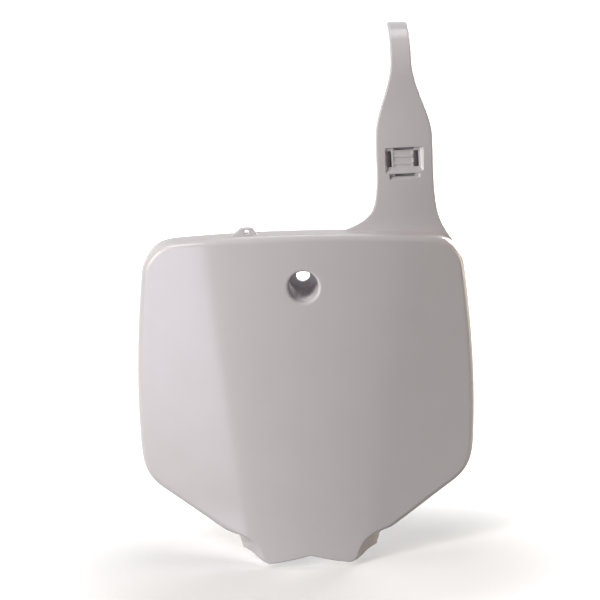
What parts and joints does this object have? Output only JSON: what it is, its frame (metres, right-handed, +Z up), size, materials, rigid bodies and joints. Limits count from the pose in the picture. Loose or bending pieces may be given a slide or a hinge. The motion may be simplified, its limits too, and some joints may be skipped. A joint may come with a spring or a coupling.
{
  "type": "racing number board",
  "caption": "Blank white moulded number board for a small off-road bike, with a recessed bolt pocket and a handlebar strap.",
  "frame": {"origin": "centre of the bolt hole at the back face of the pocket's floor", "axes": "+X to the right seen from the front, +Y to the rear along the bolt, +Z up, so the board faces -Y"},
  "size_m": [0.2278, 0.1229, 0.3391],
  "materials": {
    "white_plastic": "gloss"
  },
  "bodies": {
    "root": {"number_board": "white_plastic"}
  },
  "joints": []
}
